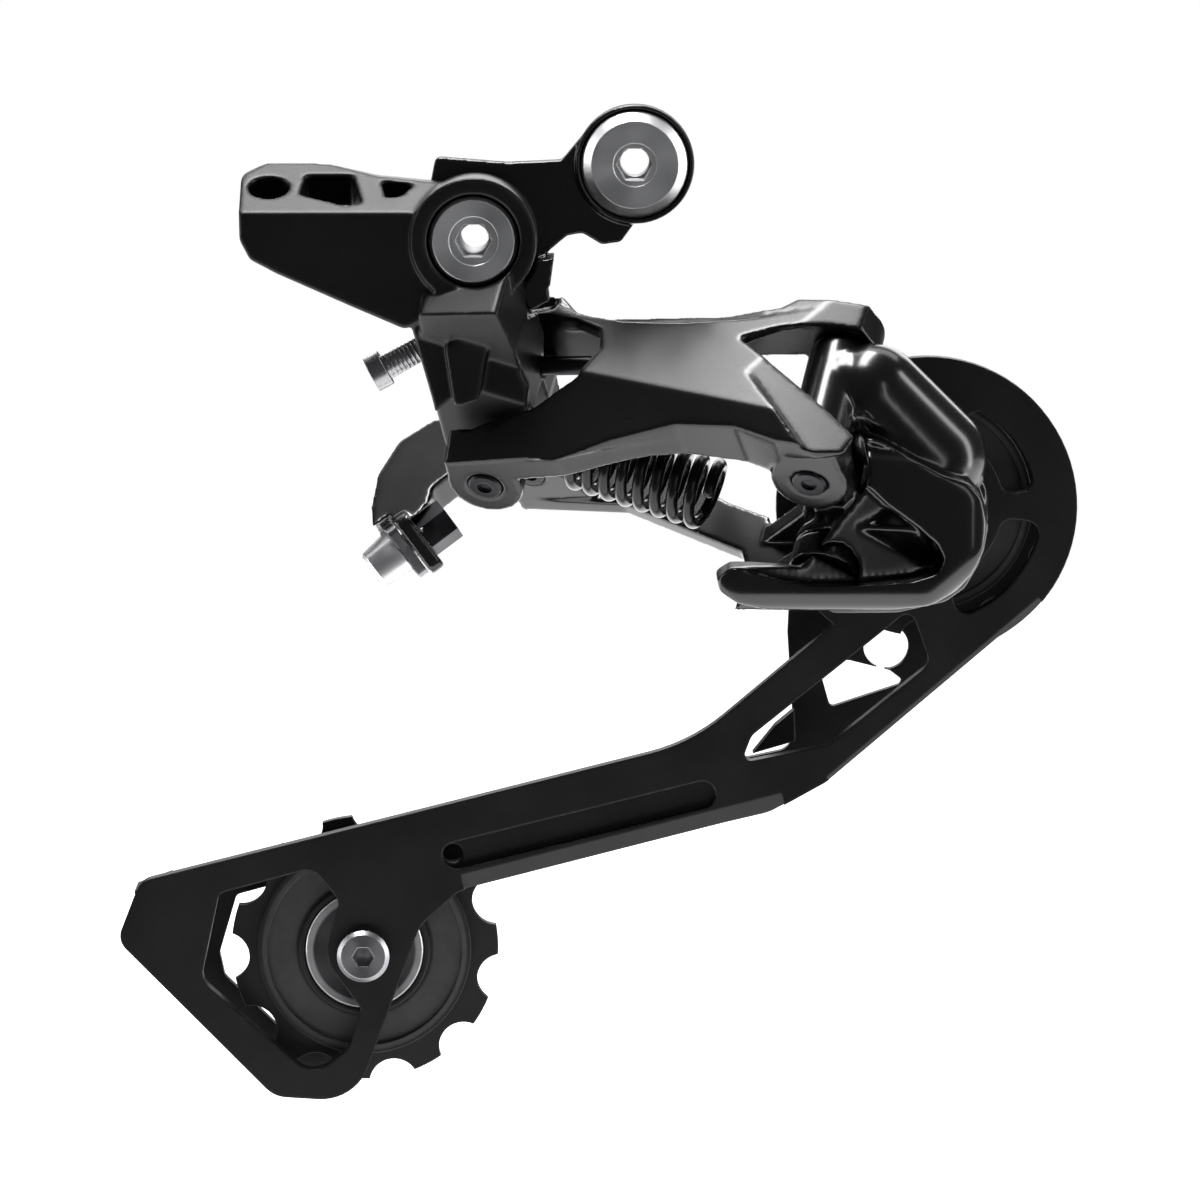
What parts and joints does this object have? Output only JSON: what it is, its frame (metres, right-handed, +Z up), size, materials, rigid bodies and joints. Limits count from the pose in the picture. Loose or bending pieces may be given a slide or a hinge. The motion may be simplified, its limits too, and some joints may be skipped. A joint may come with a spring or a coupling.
{
  "type": "rear bicycle derailleur",
  "caption": "Long-cage rear derailleur: bracket knuckle with cable arm, slanted sprung parallelogram, cage knuckle, and a pivoting cage with guide and tension pulleys.",
  "frame": {"origin": "hanger bolt axis at the bracket link's face that meets the bicycle's hanger", "axes": "+X forward along the bicycle, +Y inboard towards the wheel along the hanger bolt, +Z up"},
  "size_m": [0.152, 0.0704, 0.1591],
  "materials": {
    "link_black": "satin black paint on die-cast aluminium",
    "knuckle_black": "matte black paint on forged aluminium",
    "gloss_black": "gloss black paint on die-cast aluminium",
    "cage_black": "matte black anodised, pressed aluminium",
    "steel_bright": "turned and polished steel",
    "steel_dark": "blackened steel",
    "alloy_bolt": "turned aluminium",
    "spring_black": "black coated spring steel",
    "pulley_plastic": "moulded black nylon",
    "seal_rubber": "black rubber"
  },
  "bodies": {
    "bracket": {"bracket_link": "gloss_black", "hanger_bolt": "alloy_bolt", "bracket_bolt": "steel_bright", "bracket_washer": "steel_bright"},
    "bracket_knuckle": {"b_knuckle": "knuckle_black"},
    "tension_screw_body": {"tension_screw": "steel_bright"},
    "high_limit_body": {"high_limit_screw": "steel_bright"},
    "low_limit_body": {"low_limit_screw": "steel_bright"},
    "outer_link_body": {"outer_link": "link_black", "outer_pin_rear": "steel_dark", "outer_pin_front": "steel_dark", "return_spring": "spring_black"},
    "inner_link_body": {"inner_link": "gloss_black", "inner_pin_rear": "steel_dark", "inner_pin_front": "steel_dark", "cable_nut": "steel_dark"},
    "cable_clamp_body": {"cable_bolt": "alloy_bolt", "cable_washer": "steel_bright"},
    "cage_knuckle": {"p_knuckle": "gloss_black", "p_spring": "spring_black"},
    "cage": {"p_axle": "steel_bright", "p_seal": "seal_rubber", "stop_pin": "steel_dark", "outer_cage_plate": "cage_black", "inner_cage_plate": "cage_black", "guide_bushing": "steel_bright", "guide_caps": "steel_bright", "guide_bolt": "steel_bright", "tension_bushing": "steel_bright", "tension_caps": "steel_bright", "tension_bolt": "steel_bright"},
    "guide_wheel": {"guide_pulley": "pulley_plastic"},
    "tension_wheel": {"tension_pulley": "pulley_plastic"}
  },
  "joints": [
    {"name": "bracket_pivot", "type": "hinge", "parent": "bracket", "child": "bracket_knuckle", "pos_m": [-0.025, -0.011, -0.011], "axis": [0, 1, 0], "range_deg": [0, 30]},
    {"name": "tension_screw_travel", "type": "slide", "parent": "bracket_knuckle", "child": "tension_screw_body", "axis": [0.88, 0, 0.475], "range_m": [-0.006, 0]},
    {"name": "high_limit_travel", "type": "slide", "parent": "bracket_knuckle", "child": "high_limit_body", "axis": [0.9419, -0.3327, 0.0454], "range_m": [-0.003, 0]},
    {"name": "low_limit_travel", "type": "slide", "parent": "bracket_knuckle", "child": "low_limit_body", "axis": [0.9419, -0.3327, 0.0454], "range_m": [-0.002, 0]},
    {"name": "parallelogram", "type": "hinge", "parent": "bracket_knuckle", "child": "outer_link_body", "pos_m": [-0.02016, -0.00302, -0.03886], "axis": [0.2089, 0.6865, 0.6965], "range_deg": [0, 55], "stiffness_Nm_per_rad": 0.6, "springref_deg": -34.38, "deforming": ["return_spring"]},
    {"name": "inner_link_pivot", "type": "hinge", "parent": "bracket_knuckle", "child": "inner_link_body", "pos_m": [-0.016, 0.01337, -0.04907], "axis": [0.2089, 0.6865, 0.6965], "range_deg": [0, 55]},
    {"name": "cage_knuckle_pivot", "type": "hinge", "parent": "outer_link_body", "child": "cage_knuckle", "pos_m": [0.02977, -0.02065, -0.03645], "axis": [0.2089, 0.6865, 0.6965], "range_deg": [-55, 0]},
    {"name": "cable_clamp_travel", "type": "slide", "parent": "inner_link_body", "child": "cable_clamp_body", "axis": [0.799, 0.1199, 0.5893], "range_m": [-0.002, 0]},
    {"name": "cage_swing", "type": "hinge", "parent": "cage_knuckle", "child": "cage", "pos_m": [0.0462, -0.008, -0.0544], "axis": [0, -1, 0], "range_deg": [0, 105], "stiffness_Nm_per_rad": 0.25, "springref_deg": -68.75, "deforming": ["p_spring"]},
    {"name": "guide_spin", "type": "hinge", "parent": "cage", "child": "guide_wheel", "pos_m": [0.0462, 0.007, -0.0544], "axis": [0, -1, 0], "continuous": true},
    {"name": "tension_spin", "type": "hinge", "parent": "cage", "child": "tension_wheel", "pos_m": [-0.0432, 0.007, -0.1263], "axis": [0, -1, 0], "continuous": true}
  ],
  "couplings": [
    {"joint": "inner_link_pivot", "follows": "parallelogram", "ratio": 1},
    {"joint": "cage_knuckle_pivot", "follows": "parallelogram", "ratio": -1}
  ]
}
